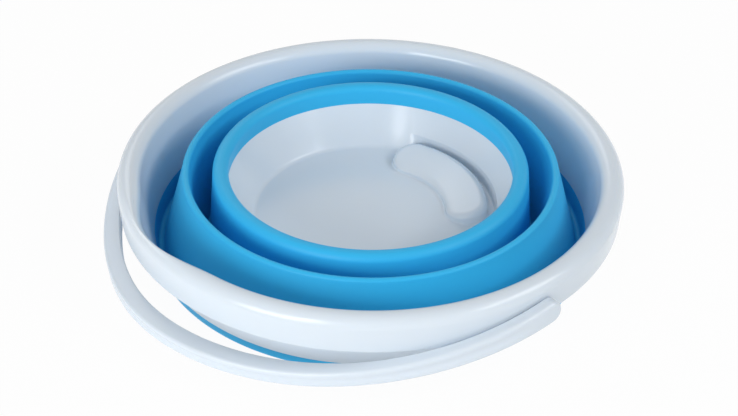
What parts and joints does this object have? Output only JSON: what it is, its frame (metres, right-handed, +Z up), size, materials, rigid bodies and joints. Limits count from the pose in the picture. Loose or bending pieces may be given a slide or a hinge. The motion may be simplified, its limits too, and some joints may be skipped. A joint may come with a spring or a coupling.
{
  "type": "collapsible bucket",
  "caption": "Folding round bucket with a stiff white rim, base and bail handle, a soft blue bellows wall, a pouring lip and a finger grip under the floor. Shown folded flat.",
  "frame": {"origin": "on the bucket's axis, in the plane that its foot ring stands on", "axes": "+Z up; +X along the handle's pivots; the handle rests towards -Y and the finger grip is towards +Y"},
  "size_m": [0.3364, 0.336, 0.058],
  "materials": {
    "white_plastic": "satin",
    "blue_elastomer": "satin"
  },
  "bodies": {
    "base": {"base_dish": "white_plastic", "base_collar": "blue_elastomer", "inner_fold_web": "blue_elastomer"},
    "middle": {"middle_band": "blue_elastomer", "outer_fold_web": "blue_elastomer"},
    "rim": {"rim": "white_plastic", "rim_cuff": "blue_elastomer"},
    "handle": {"handle": "white_plastic"}
  },
  "joints": [
    {"name": "inner_fold", "type": "slide", "parent": "base", "child": "middle", "axis": [0, 0, 1], "range_m": [0, 0.11], "deforming": ["inner_fold_web"]},
    {"name": "outer_fold", "type": "slide", "parent": "middle", "child": "rim", "axis": [0, 0, 1], "range_m": [0, 0.106], "deforming": ["outer_fold_web"]},
    {"name": "handle_swing", "type": "hinge", "parent": "rim", "child": "handle", "pos_m": [0, 0, 0.039], "axis": [-1, 0, 0], "range_deg": [0, 196.4]}
  ]
}
